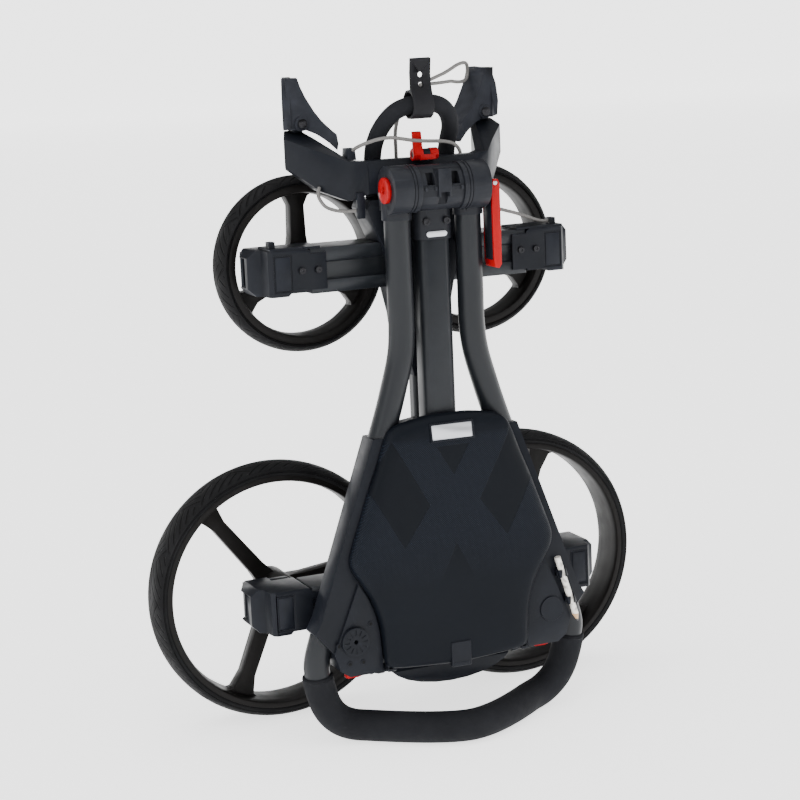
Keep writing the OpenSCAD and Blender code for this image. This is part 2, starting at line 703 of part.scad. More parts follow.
// Pencil on the right of the console, held in two clips
pencil_low = [152.5, -72.5, 105.5];
pencil_dir = unit([-24, 0, 79]);
pencil_len = 82;
pencil_r = 3.6;
module pencil_rod(from, to, r) {
  translate(pencil_low + pencil_dir * from) rotate([0, atan2(pencil_dir[0], pencil_dir[2]), 0])
    cylinder(r = r, h = to - from);
}
module pencil() {
  color(white) union() {
    pencil_rod(9, pencil_len, pencil_r);
    translate(pencil_low) rotate([0, atan2(pencil_dir[0], pencil_dir[2]), 0])
      cylinder(r1 = 0.6, r2 = pencil_r, h = 9);
  }
}
module pencil_clips() {
  color(plastic) for (at = [24, 58]) difference() {
    union() {
      pencil_rod(at, at + 9, pencil_r + 2);
      translate(pencil_low + pencil_dir * (at + 4.5)) translate([-2, 3.3, 0])
        cube([8, 5, 8], center = true);
    }
    pencil_rod(at - 1, at + 10, pencil_r + run);
    translate(pencil_low + pencil_dir * (at + 4.5)) translate([0, -6, 0])
      cube([4.5, 8, 12], center = true);
  }
}

// ---------------------------------------------------------------- front frame
front_front = -15;
front_back = 36;
front_mid = 528;   // middle height of the front arms
module front_tube() {
  color(satin) difference() {
    union() {
      translate([0, -9, 232]) linear_extrude(200) round_rect(30, 20, 6);
      plate_x([[-19, 236], [-19, 222], [-6, 205], [20, 203], [34, 196], [fold_y, fold_z - 8],
        [fold_y + 6, fold_z + 6], [36, 210], [22, 216], [4, 222], [1, 236]], -14, 14);
      rod_x([0, fold_y, fold_z], barrel_r, 32);
    }
    rod_x([0, fold_y, fold_z], fold_r + run, 60);
    translate([0, -9, 240]) linear_extrude(200) round_rect(26, 16, 4);
  }
}
arm_start = 30;
module front_casting() {
  color(plastic) difference() {
    plate_y([[-17, 402], [-25, 440], [-28, 469], [-36, 505], [-46, 548], [-64, 590], [-60, 600],
      [60, 600], [64, 590], [46, 548], [36, 505], [28, 469], [25, 440], [17, 402]], -24, 22);
    plate_y([[-26, 588], [-28, 562], [28, 562], [26, 588]], -32, 40);
    translate([0, -9, 200]) linear_extrude(232) round_rect(30, 20, 6);
    for (s = [-1, 1]) rod_z([s * 43.5, 4, 598], arch_r, 14);
    for (s = [-1, 1]) on_side(s)
      block([arm_start, front_front - 0.01, front_mid - 25.2], [80, 60, front_mid + 25.2]);
  }
}
module front_arms() {
  color(satin) for (s = [-1, 1]) on_side(s) difference() {
    plate_x([for (p = arm_profile) [front_front + p[0], front_mid + p[1] * 0.92]],
      arm_start, 130);
    block([arm_start - 1, front_front + 7, front_mid - 18], [131, front_back - 6, front_mid + 20]);
  }
}
module front_block(s) {
  on_side(s) color(plastic) difference() {
    end_block(front_pin, front_mid, 25, front_front - 3, 42, 130, 194, 16);
    block([129, front_back - 2, 480], [front_pin[0] - barrel_r - 6, 60, 580]);
  }
  on_side(s) color(plastic) union() {
    block([112, front_front - 3, front_mid - 20], [130, front_front, front_mid + 20]);
    block([118, front_front - 2, front_mid + 25], [176, 22, front_mid + 27.4]);
    // lug for the pull cable's end
    block([166, -6, front_mid + 27.4], [173, 5, front_mid + 34]);
  }
}
module front_block_left() { front_block(-1); }
module front_block_right() { front_block(1); }
module front_screws() {
  color(steel) for (s = [-1, 1]) on_side(s) {
    for (x = [122, 141]) screw(x, front_front - 6, front_mid + 2);
    screw(42, -27, 551);
  }
}
module arch_tube() {
  color(foam) sweep_rod(smooth(both_sides(arch_half), 2), arch_r, [0, 1, 0], 16);
}
module arch_strap() {
  color(rubber) difference() {
    plate_x([[-55, 703], [-55.5, 698], [-52.5, 690], [-46, 685.8], [-35.5, 685.8],
      [-27.5, 690.5], [-24.8, 699], [-26.3, 709.5], [-33, 716], [-44.5, 717.5], [-44.5, 724],
      [-44.5, 735], [-47, 751], [-50, 750], [-47.7, 735], [-47.7, 724], [-50.5, 716]], -17, 7);
    rod_x([-5, -40.3, 701.2], arch_r + 3.6, 60);
    for (z = [722, 733]) rod_y([-5, -46, z], 2.9, 30);
  }
}
module strap_cord() {
  color(grey) sweep_rod(smooth(strap_route, 2), cord_r, [0, 1, 0], cord_sides);
}
module fold_cable() {
  color(grey) sweep_rod(smooth(cable_route, 2), cord_r, [0, 0, 1], cord_sides);
}

// ---------------------------------------------------------------- wheels
// Folding carrier: a barrel on the block's pin, a neck and a plate with the axle
module carrier(s, pin, z, tall, wheel_x, plate_y0, hub_face, axle_end, hub_z) {
  on_side(s) {
    color(plastic) difference() {
      union() {
        rod_z([pin[0], pin[1], z], barrel_r, 2 * tall);
        block([pin[0] - barrel_r, pin[1], z - tall], [pin[0] + 6, plate_y0 + 3, z + tall]);
        plate_y([[pin[0] + 8, z - tall - 4], [wheel_x, z - tall - 4], [wheel_x - 16, z - 10],
          [wheel_x - 16, z + 10], [wheel_x, z + tall + 4], [pin[0] + 8, z + tall + 4]],
          plate_y0, plate_y0 + 8);
        rod_y([wheel_x, (plate_y0 + hub_face) / 2, hub_z], 15, hub_face - plate_y0);
      }
      rod_z([pin[0], pin[1], z], pin_r + run, 80);
    }
    color(steel) {
      rod_y([wheel_x, (hub_face + axle_end) / 2, hub_z], axle_r - run, axle_end - hub_face);
      rod_y([wheel_x, axle_end + 1, hub_z], 10, 2);
    }
  }
}
module rear_carrier(s) {
  carrier(s, rear_pin, rear_mid, 16 - slot_gap, rear_x, 51.5, 61, 117.5, rear_z);
}
module front_carrier(s) {
  carrier(s, front_pin, front_mid, 16 - slot_gap, front_x, 47.5, 57, 105, front_z);
}
module rear_left_carrier() { rear_carrier(-1); }
module rear_right_carrier() { rear_carrier(1); }
module front_left_carrier() { front_carrier(-1); }
module front_right_carrier() { front_carrier(1); }

// Places a wheel drawn around +Z with its axle along +Y
module as_wheel(x, y, z) { translate([x, y, z]) rotate([-90, 0, 0]) children(); }
// Crowned tyre
module tyre(r, w, deep) {
  half = w / 2;
  crown = [for (i = [-4:4]) [r - 4 * pow(abs(i) / 4, 2.5), i / 4 * (half - 4)]];
  rotate_extrude() polygon(concat([[r - deep, -half + 1]], [[r - 9, -half]], crown,
    [[r - 9, half]], [[r - deep, half - 1]]));
}
// Rim with three spokes at the angles a, a + 120 and a + 240
module rim(r, w, deep, lip, a, hub_front, hub_back, hub_r) {
  half = w / 2;
  seat = r - deep;
  inside = seat - lip;
  rotate_extrude() polygon([[inside, -half + 0.5], [inside - 1.5, -half + 5], [inside - 2.5, 0],
    [inside - 1.5, half - 5], [inside, half - 0.5], [seat, half - 1], [seat, -half + 1]]);
  difference() {
    union() {
      translate([0, 0, hub_front]) cylinder(r = hub_r, h = hub_back - hub_front);
      for (k = [0:2]) rotate([0, 0, a + 120 * k]) translate([0, 0, -4]) linear_extrude(17)
        polygon([[12, -12], [hub_r + 14, -9], [inside * 0.8, -8], [inside - 6, -13],
          [inside - 0.5, -22], [inside - 0.5, 22], [inside - 6, 13], [inside * 0.8, 8],
          [hub_r + 14, 9], [12, 12]]);
    }
    translate([0, 0, -100]) cylinder(r = axle_r, h = 200);
  }
}
module rear_tyre(s) {
  color(rubber) as_wheel(s * rear_x, rear_y, rear_z) tyre(rear_r, rear_w, tyre_rear);
}
module front_tyre(s) {
  color(rubber) as_wheel(s * front_x, front_y, front_z) tyre(front_r, front_w, tyre_front);
}
module rear_rim(s, a) {
  color(satin) as_wheel(s * rear_x, rear_y, rear_z)
    rim(rear_r, rear_w, tyre_rear, lip_rear, a, -33.7, 22, 21);
}
module front_rim(s, a) {
  color(satin) as_wheel(s * front_x, front_y, front_z)
    rim(front_r, front_w, tyre_front, lip_front, a, -27.7, 19.7, 18);
}
module rear_left_rim() { rear_rim(-1, -8); }
module rear_left_tyre() { rear_tyre(-1); }
module rear_right_rim() { rear_rim(1, -72); }
module rear_right_tyre() { rear_tyre(1); }
module front_left_rim() { front_rim(-1, -90); }
module front_left_tyre() { front_tyre(-1); }
module front_right_rim() { front_rim(1, -90); }
module front_right_tyre() { front_tyre(1); }

main_tube();
drum_core();
collar_plate();
chassis_screws();
bracket_bar();
bracket_wing_left();
bracket_wing_right();
pad_pins();
cord_clip();
bar_cord();
side_cord();
rear_casting();
rear_arms();
rear_block_left();
rear_block_right();
fold_pin();
handle_bar();
drum_half_left();
drum_half_right();
drum_axle();
end_cap();
foam_grip();
console_tub();
console_wing_left();
console_wing_right();
pencil_clips();
release_lever();
lever_insert();
console_lid();
name_plate();
accessory_dial();
button_left();
button_right();
pencil();
front_tube();
front_casting();
front_arms();
front_block_left();
front_block_right();
front_screws();
arch_tube();
arch_strap();
strap_cord();
fold_cable();
cord_hook();
pad_left();
pad_right();
rear_left_carrier();
rear_right_carrier();
front_left_carrier();
front_right_carrier();
rear_left_rim();
rear_left_tyre();
rear_right_rim();
rear_right_tyre();
front_left_rim();
front_left_tyre();
front_right_rim();
front_right_tyre();
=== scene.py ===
import math

import bmesh
import bpy
from mathutils import Matrix, Vector


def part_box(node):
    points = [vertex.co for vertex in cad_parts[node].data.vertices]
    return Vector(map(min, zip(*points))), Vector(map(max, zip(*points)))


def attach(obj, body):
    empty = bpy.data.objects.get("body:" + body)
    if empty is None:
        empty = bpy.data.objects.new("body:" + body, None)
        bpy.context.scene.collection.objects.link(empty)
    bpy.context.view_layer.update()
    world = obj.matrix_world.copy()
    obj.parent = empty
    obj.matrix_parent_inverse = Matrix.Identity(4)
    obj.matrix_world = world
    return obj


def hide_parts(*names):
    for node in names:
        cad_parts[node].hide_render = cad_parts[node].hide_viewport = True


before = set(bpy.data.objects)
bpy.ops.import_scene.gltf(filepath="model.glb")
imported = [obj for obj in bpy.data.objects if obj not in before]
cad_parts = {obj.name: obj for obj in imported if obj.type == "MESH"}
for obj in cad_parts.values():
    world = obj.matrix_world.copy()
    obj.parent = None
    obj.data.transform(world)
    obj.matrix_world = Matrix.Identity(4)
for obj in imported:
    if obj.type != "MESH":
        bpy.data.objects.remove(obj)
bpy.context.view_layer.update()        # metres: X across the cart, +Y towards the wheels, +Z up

MM = 0.001


# ------------------------------------------------------------------ camera, cords first
CAMERA_LENS = 96.07
CAMERA_AT = (-0.9307, -2.1724, 0.8155)


def make_camera():
    """The picture's own viewpoint: place, lens, and the camera's right, up and backward directions."""
    data = bpy.data.cameras.new("camera")
    data.sensor_width = 36
    data.lens = CAMERA_LENS
    camera = bpy.data.objects.new("camera", data)
    bpy.context.collection.objects.link(camera)
    right = Vector((0.91899, -0.39185, -0.04370))
    up = Vector((0.11225, 0.15378, 0.98171))
    back = Vector((-0.37796, -0.90709, 0.18530))
    camera.matrix_world = Matrix.Translation(CAMERA_AT) @ Matrix((right, up, back)).transposed().to_4x4()
    bpy.context.scene.camera = camera


make_camera()


def smooth(points, steps):
    """Catmull-Rom curve through the points, with that many steps between neighbours."""
    made = []
    last = len(points) - 1
    for i in range(last):
        a, b = Vector(points[max(i - 1, 0)]), Vector(points[i])
        c, d = Vector(points[i + 1]), Vector(points[min(i + 2, last)])
        for k in range(steps):
            t = k / steps
            made.append(0.5 * (2 * b + (c - a) * t + (2 * a - 5 * b + 4 * c - d) * t * t
                               + (3 * b - a - 3 * c + d) * t ** 3))
    return made + [Vector(points[last])]


def length_of(points):
    return sum((b - a).length for a, b in zip(points, points[1:]))


# Routes of the cords, in millimetres, as the frame's own solids run
BAR_ROUTE = [
    (-76, -2, 645), (-74, -7, 652), (-69, -16, 658), (-61, -28, 663), (-52, -38, 666.5),
    (-41, -44, 667.5), (-31, -46.5, 666), (-18, -48, 663.5), (-6, -48, 662), (6, -46, 661),
    (18, -41, 660), (28, -36, 658.5), (37, -32, 656), (43, -29, 652.5), (47, -27, 648),
    (48.6, -25.6, 644.3)]
SIDE_ROUTE = [
    (-105.9, 8.4, 615.3), (-108, 6.5, 611.5), (-108.8, 4.8, 606), (-106.5, 3, 600), (-102.5, 0, 594.5),
    (-97, -5.5, 591.5), (-91, -11, 590), (-84, -15, 589.5), (-78.6, -19.2, 589.8), (-75.4, -23, 590.5),
    (-74.4, -26.3, 591.3)]
STRAP_ROUTE = [
    (-8, 14, 600.5), (-10, 13, 614), (-12, 12, 632), (-13, 10, 652), (-13.5, 8, 670), (-12, 2, 686),
    (-9.5, -8, 700), (-6, -21, 711), (0, -32, 719.5), (9, -35, 725), (24, -24, 728.5), (41, -8, 731.5),
    (57, 9, 735), (72, 27, 738), (86, 43, 739.5), (95, 53, 739), (100, 59.5, 735.5), (101.2, 61.5, 729),
    (99.5, 60, 722.5), (94, 54.5, 719.5), (84, 45, 718.5), (72, 32, 719.5), (60, 16, 721), (48, 0, 721.5),
    (33, -15, 721.5), (19, -25.5, 721.5), (7, -33, 721.6), (-1, -38.5, 721.8), (-5, -46.6, 722)]
CABLE_ROUTE = [
    (63.2, -3.6, 586.3), (71, -5.5, 584.2), (80, -8, 582), (92, -9.5, 579), (102, -10, 577),
    (112, -9.5, 574), (122, -8, 571), (132, -6.5, 567.5), (141, -5, 564), (150, -3.5, 560.7),
    (158, -2, 558.6), (165.6, -0.8, 558)]
CORD_R = 2 * MM


# ------------------------------------------------------------------ materials
class Look:
    """A principled material, with short calls that add its nodes."""

    def __init__(self, name, colour, rough, metal=0.0, coat=0.0, level=0.5):
        self.mat = bpy.data.materials.new(name)
        self.mat.use_nodes = True
        self.tree = self.mat.node_tree
        self.bsdf = self.tree.nodes["Principled BSDF"]
        self.colour = colour
        self.bsdf.inputs["Base Color"].default_value = (*colour, 1)
        self.bsdf.inputs["Roughness"].default_value = rough
        self.bsdf.inputs["Metallic"].default_value = metal
        self.bsdf.inputs["Coat Weight"].default_value = coat
        self.bsdf.inputs["Specular IOR Level"].default_value = level
        self.spot = self.node("TexCoord").outputs["Object"]
        self.mat.diffuse_color = (*colour, 1)

    def node(self, kind, inputs=None, **settings):
        made = self.tree.nodes.new("ShaderNode" + kind)
        for key, value in settings.items():
            setattr(made, key, value)
        for key, value in (inputs or {}).items():
            if isinstance(value, bpy.types.NodeSocket):
                self.tree.links.new(value, made.inputs[key])
            else:
                made.inputs[key].default_value = value
        return made

    def calc(self, operation, a, b=0.0, c=0.0):
        return self.node("Math", {0: a, 1: b, 2: c}, operation=operation).outputs[0]

    def noise(self, scale, detail=3.0):
        return self.node("TexNoise", {"Vector": self.spot, "Scale": scale, "Detail": detail}).outputs["Fac"]

    def spread(self, value, low, high, to_low, to_high):
        return self.node("MapRange", {"Value": value, "From Min": low, "From Max": high,
                                      "To Min": to_low, "To Max": to_high}).outputs["Result"]

    def blend(self, factor, a, b):
        made = self.node("Mix", data_type="RGBA")
        for socket, value in ((0, factor), (6, a), (7, b)):
            if isinstance(value, bpy.types.NodeSocket):
                self.tree.links.new(value, made.inputs[socket])
            else:
                made.inputs[socket].default_value = value
        return made.outputs[2]

    def shade(self, factor):
        return (*[min(1, c * factor) for c in self.colour], 1)

    def set(self, socket, value):
        self.tree.links.new(value, self.bsdf.inputs[socket])

    def bump(self, height, strength, distance):
        under = self.bsdf.inputs["Normal"]
        made = self.node("Bump", {"Height": height, "Strength": strength, "Distance": distance})
        if under.links:
            self.tree.links.new(under.links[0].from_socket, made.inputs["Normal"])
        self.tree.links.new(made.outputs["Normal"], under)

    def mottle(self, patch, vary, rough_low, rough_high, worn=0.0):
        """Slow change of colour and roughness, and paler edges where hands and cases rub."""
        broad = self.noise(patch)
        tone = self.spread(broad, 0.3, 0.7, 0, 1)
        colour = self.blend(tone, self.shade(1 - vary), self.shade(1 + vary))
        if worn:
            edge = self.node("NewGeometry").outputs["Pointiness"]
            rubbed = self.calc("MULTIPLY", self.spread(edge, 0.52, 0.60, 0, worn), self.noise(90))
            colour = self.blend(rubbed, colour, self.shade(5))
        self.set("Base Color", colour)
        self.set("Roughness", self.spread(self.noise(patch * 4), 0.3, 0.7, rough_low, rough_high))
        return colour


def moulded(name, colour, rough, grain=1100, depth=0.12, worn=0.35):
    look = Look(name, colour, rough, level=0.11)
    look.mottle(14, 0.12, rough - 0.05, rough + 0.07, worn)
    look.bump(look.noise(grain, 2), depth, 0.0003)
    return look


def painted_tube():
    look = Look("satin_tube", (0.0085, 0.0098, 0.012), 0.38, metal=0.1, level=0.25)
    look.mottle(9, 0.1, 0.30, 0.42, 0.3)
    look.bump(look.noise(420, 2), 0.06, 0.0002)
    return look.mat


def foam():
    look = Look("foam", (0.0085, 0.009, 0.011), 0.84, level=0.15)
    look.mottle(22, 0.18, 0.80, 0.94)
    cells = look.node("TexVoronoi", {"Vector": look.spot, "Scale": 760.0}).outputs["Distance"]
    look.bump(cells, 0.35, 0.0004)
    look.bump(look.noise(60), 0.18, 0.0008)
    return look.mat


def brushed_steel(name, colour):
    look = Look(name, colour, 0.28, metal=1.0)
    streak = look.node("Mapping", {"Vector": look.spot, "Scale": (60, 900, 900)}).outputs[0]
    lines = look.node("TexNoise", {"Vector": streak, "Scale": 1.0, "Detail": 2.0}).outputs["Fac"]
    look.set("Roughness", look.spread(lines, 0.3, 0.7, 0.2, 0.4))
    look.bump(lines, 0.08, 0.0001)
    return look.mat


def braided(name, colour):
    """Woven sheath of an elastic cord: fine crossing ribs, with a painted highlight on their crests and
    painted shade between them.
    """
    look = Look(name, colour, 0.75, level=0.3)
    axes = look.node("SeparateXYZ", {"Vector": look.spot}).outputs
    slant = look.calc("ADD", axes[0], axes[2])
    ribs = look.calc("SINE", look.calc("MULTIPLY", slant, 5200.0))
    across = look.calc("SINE", look.calc("MULTIPLY", look.calc("SUBTRACT", axes[1], axes[2]), 5200.0))
    weave = look.calc("MULTIPLY", ribs, across)
    # the weave's high ribs are painted paler and its low hollows darker: painted highlight and painted shade
    look.set("Base Color", look.blend(look.spread(weave, -1, 1, 0, 1), look.shade(0.72), look.shade(1.2)))
    look.bump(weave, 0.3, 0.0003)
    return look.mat


def tread(name, centre, radius, blocks):
    """Rubber whose running surface has nested slanting ribs in facing triangles, with painted shade in the
    grooves between them.
    """
    look = Look(name, (0.0070, 0.0070, 0.0076), 0.58, level=0.09)
    axes = look.node("SeparateXYZ", {"Vector": look.spot}).outputs
    dx = look.calc("SUBTRACT", axes[0], centre.x)
    dy = look.calc("SUBTRACT", axes[1], centre.y)
    dz = look.calc("SUBTRACT", axes[2], centre.z)
    turn = look.calc("MULTIPLY", look.calc("ARCTAN2", dz, dx), blocks / (2 * math.pi))
    side = look.calc("MULTIPLY", dy, 42.0)
    far = look.calc("SQRT", look.calc("ADD", look.calc("MULTIPLY", dx, dx), look.calc("MULTIPLY", dz, dz)))
    crest = look.spread(far, radius - 0.006, radius - 0.0035, 0, 1)
    # each block is split corner to corner, and the ribs slant the other way on each half
    fold = look.calc("PINGPONG", look.calc("MULTIPLY", turn, 2.0), 1.0)
    half = look.calc("GREATER_THAN", fold, look.calc("MULTIPLY_ADD", side, 0.5, 0.5))
    one_way = look.calc("FRACT", look.calc("MULTIPLY", look.calc("MULTIPLY_ADD", side, 0.5, turn), 5.0))
    other = look.calc("FRACT", look.calc("MULTIPLY", look.calc("MULTIPLY_ADD", side, -0.5, turn), 5.0))
    line = look.calc("MULTIPLY_ADD", half, look.calc("SUBTRACT", one_way, other), other)
    rib = look.calc("ABSOLUTE", look.calc("SUBTRACT", line, 0.5))
    groove_lines = look.calc("MULTIPLY", look.spread(rib, 0.06, 0.16, 1, 0), crest)
    off_seam = look.calc("ABSOLUTE", look.calc("SUBTRACT", far, radius - 0.0085))
    seam = look.spread(off_seam, 0.0003, 0.0009, 1, 0)
    dust = look.blend(look.spread(look.noise(35), 0.35, 0.7, 0, 0.7), look.shade(0.8), look.shade(1.35))
    # the groove lines are painted at 0.3 of the rubber's colour: painted shade in the grooves
    look.set("Base Color", look.blend(look.calc("MULTIPLY", groove_lines, 0.7), dust, look.shade(0.3)))
    look.set("Roughness", look.spread(look.noise(50), 0.3, 0.7, 0.55, 0.75))
    look.bump(look.noise(900, 2), 0.15, 0.0003)
    look.bump(look.calc("SUBTRACT", look.calc("MULTIPLY", groove_lines, -1.0), seam), 1.0, 0.0022)
    return look.mat


def lid_plastic():
    """Fine dot grid around plain, slightly sunk diamonds; plain below. The diamonds carry painted shade and
    the dots a painted highlight.
    """
    look = Look("lid_plastic", (0.0036, 0.0048, 0.0074), 0.42, level=0.075)
    axes = look.node("SeparateXYZ", {"Vector": look.spot}).outputs
    across = look.calc("ABSOLUTE", axes[0])
    up = axes[2]

    def edge(ax, az, bx, bz):
        """Distance from the line a-b, positive on its left, in metres."""
        run, rise = (bx - ax) * MM, (bz - az) * MM
        size = math.hypot(run, rise)
        a = look.calc("MULTIPLY", look.calc("SUBTRACT", up, az * MM), run / size)
        b = look.calc("MULTIPLY", look.calc("SUBTRACT", across, ax * MM), rise / size)
        return look.calc("SUBTRACT", a, b)

    def inside(corners):
        lines = [edge(*a, *b) for a, b in zip(corners, corners[1:] + corners[:1])]
        least = lines[0]
        for line in lines[1:]:
            least = look.calc("MINIMUM", least, line)
        return least

    side = inside([(71, 343), (30, 268), (62, 223), (100, 292)])
    top = inside([(19.5, 332), (0, 332), (-19.5, 332), (0, 299)])
    low = inside([(0, 222), (-40, 140), (40, 140)])
    plain = look.calc("MAXIMUM", side, look.calc("MAXIMUM", top, low))
    facet = look.spread(plain, -0.0004, 0.0004, 0, 1)
    fade = look.spread(up, 0.176, 0.232, 0, 1)
    crown = look.spread(up, 0.338, 0.344, 1, 0)
    dotted = look.calc("MULTIPLY", look.calc("MULTIPLY", fade, crown), look.calc("SUBTRACT", 1.0, facet))
    pitch = 1 / 0.0024
    u = look.calc("SINE", look.calc("MULTIPLY", axes[0], 2 * math.pi * pitch))
    v = look.calc("SINE", look.calc("MULTIPLY", up, 2 * math.pi * pitch))
    dots = look.calc("MULTIPLY", look.spread(look.calc("MULTIPLY", u, v), 0.1, 0.6, 0, 1), dotted)
    base = look.mottle(12, 0.1, 0.40, 0.50, 0.3)
    # the sunk diamonds are painted darker: painted shade in the recess
    sunk = look.calc("MULTIPLY", facet, look.calc("MULTIPLY", fade, 0.5))
    shaded = look.blend(sunk, base, look.shade(0.55))
    # the raised dots are painted 4.2 times paler than the plastic: a painted highlight on each dot
    look.set("Base Color", look.blend(look.calc("MULTIPLY", dots, 0.8), shaded, look.shade(4.2)))
    look.bump(look.noise(1200, 2), 0.10, 0.0003)
    look.bump(dots, 0.9, 0.0005)
    look.bump(look.calc("MULTIPLY", look.calc("MULTIPLY", facet, fade), -1.0), 0.5, 0.0006)
    return look.mat


def pencil_look():
    """White lacquer, with the bare wooden cone and the lead at the low end."""
    look = Look("pencil_lacquer", (0.80, 0.78, 0.72), 0.35, coat=0.3)
    low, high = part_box("pencil")
    up = look.node("SeparateXYZ", {"Vector": look.spot}).outputs[2]
    marks = look.spread(look.noise(160), 0.45, 0.62, 0, 1)
    scuffs = look.blend(marks, look.shade(1.0), (0.35, 0.33, 0.30, 1))
    wood = look.blend(look.noise(700), (0.62, 0.40, 0.20, 1), (0.42, 0.24, 0.11, 1))
    lead = look.blend(look.calc("LESS_THAN", up, low.z + 0.0028), wood, (0.03, 0.03, 0.03, 1))
    cone = look.calc("LESS_THAN", up, low.z + 0.0095)
    look.set("Base Color", look.blend(cone, scuffs, lead))
    look.bump(look.noise(500), 0.08, 0.0002)
    return look.mat


def plate_look():
    """Blank brushed plate."""
    look = Look("label", (0.56, 0.57, 0.60), 0.34, metal=0.7)
    streak = look.node("Mapping", {"Vector": look.spot, "Scale": (30, 1200, 1200)}).outputs[0]
    lines = look.node("TexNoise", {"Vector": streak, "Scale": 1.0, "Detail": 2.0}).outputs["Fac"]
    look.set("Base Color", look.blend(lines, look.shade(0.8), look.shade(1.15)))
    look.bump(lines, 0.06, 0.0001)
    return look.mat


PLASTIC = moulded("plastic", (0.0062, 0.0072, 0.0100), 0.38).mat
DRUM = moulded("drum_plastic", (0.0115, 0.0125, 0.0155), 0.36).mat
RUBBER = moulded("pad_rubber", (0.0120, 0.0130, 0.0165), 0.46, grain=700, depth=0.2).mat
STRAP = moulded("strap_rubber", (0.0075, 0.0075, 0.009), 0.5, grain=500, depth=0.25).mat
RIM = moulded("rim", (0.0050, 0.0044, 0.0042), 0.42, worn=0.2).mat
RED = moulded("red_plastic", (0.34, 0.0012, 0.0034), 0.30, grain=600, depth=0.05, worn=0.0).mat
TUBE = painted_tube()
FOAM = foam()
STEEL = brushed_steel("steel", (0.40, 0.40, 0.41))
DARK_STEEL = brushed_steel("dark_steel", (0.022, 0.022, 0.024))
CORD = braided("cord", (0.15, 0.145, 0.14))
LID = lid_plastic()
PENCIL = pencil_look()
PLATE = plate_look()
# Near-black material for the discs that stand in for the panel holes: painted shade
HOLE_SHADE = moulded("painted_hole_shade", (0.002, 0.002, 0.002), 0.6).mat


# ------------------------------------------------------------------ mesh helpers
def new_object(name, body, material, mesh=None, data=None):
    """Puts a bmesh, or data that is ready, into the scene as a piece that rides on a body."""
    if data is None:
        data = bpy.data.meshes.new(name)
        mesh.to_mesh(data)
        mesh.free()
        data.polygons.foreach_set("use_smooth", [True] * len(data.polygons))
    made = bpy.data.objects.new(name, data)
    bpy.context.collection.objects.link(made)
    data.materials.append(material)
    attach(made, body)
    return made


def add_rings(mesh, rings, caps=True):
    """Skins closed rings of points with quads, and caps the two ends."""
    made = [[mesh.verts.new(p) for p in ring] for ring in rings]
    count = len(made[0])
    for a, b in zip(made, made[1:]):
        for k in range(count):
            n = (k + 1) % count
            mesh.faces.new((a[k], a[n], b[n], b[k]))
    if caps:
        mesh.faces.new(list(reversed(made[0])))
        mesh.faces.new(made[-1])
    return made


def sweep(points, radii, up, sides=32):
    """Rings around a line; radii holds one radius per point."""
    rings = []
    last = len(points) - 1
    up = Vector(up)
    for i, (point, radius) in enumerate(zip(points, radii)):
        ahead = (points[min(i + 1, last)] - points[max(i - 1, 0)]).normalized()
        a = ahead.cross(up).normalized()
        b = ahead.cross(a)
        rings.append([point + radius * (math.cos(t) * a + math.sin(t) * b)
                      for t in (2 * math.pi * k / sides for k in range(sides))])
    return rings


def rounded_ends(points, radius, edge):
    """Radii that round off the first and last stretch of a sweep by edge."""
    total = length_of(points)
    run = 0.0
    radii = []
    for i, point in enumerate(points):
        if i:
            run += (point - points[i - 1]).length
        near = min(run, total - run)
        k = max(0.0, 1 - near / edge)
        radii.append(radius - edge * (1 - math.sqrt(max(0.0, 1 - k * k))))
    return radii


def in_mm(points):
    return [p * MM for p in points]


def revolve(mesh, centre, outline, count):
    """Turns an outline of (radius, y) points around a wheel's axle, as a closed ring."""
    rings = []
    for i in range(count):
        t = 2 * math.pi * i / count
        rings.append([centre + Vector((r * math.cos(t), y, r * math.sin(t))) for r, y in outline])
    made = [[mesh.verts.new(p) for p in ring] for ring in rings]
    size = len(outline)
    for i in range(count):
        a, b = made[i], made[(i + 1) % count]
        for k in range(size):
            n = (k + 1) % size
            mesh.faces.new((a[k], b[k], b[n], a[n]))


def soften(name, width, material, angle=32):
    """Small rounded edges and the real material on a CAD node that stays."""
    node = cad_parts[name]
    node.data.polygons.foreach_set("use_smooth", [True] * len(node.data.polygons))
    weld = node.modifiers.new("weld", "WELD")
    weld.merge_threshold = 0.00001
    bevel = node.modifiers.new("bevel", "BEVEL")
    bevel.width = width * MM
    bevel.segments = 2
    bevel.limit_method = "ANGLE"
    bevel.angle_limit = math.radians(angle)
    bevel.harden_normals = True
    paint(name, material)


def paint(name, material):
    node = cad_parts[name]
    node.data.materials.clear()
    node.data.materials.append(material)


# ------------------------------------------------------------------ cords
def make_cord(name, route, body, node):
    points = in_mm(smooth(route, 4))
    data = bpy.data.curves.new(name, "CURVE")
    data.dimensions = "3D"
    line = data.splines.new("POLY")
    line.points.add(len(points) - 1)
    for spot, point in zip(line.points, points):
        spot.co = (*point, 1)
    data.bevel_depth = CORD_R
    data.bevel_resolution = 3
    data.use_fill_caps = True
    piece = new_object(name, body, CORD, data=data)
    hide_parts(node)
    return piece


make_cord("cord_over_bar", BAR_ROUTE, "chassis", "bar_cord")
make_cord("cord_under_wing", SIDE_ROUTE, "chassis", "side_cord")
make_cord("cord_of_strap", STRAP_ROUTE, "front_frame", "strap_cord")
make_cord("cable_of_fold", CABLE_ROUTE, "front_frame", "fold_cable")


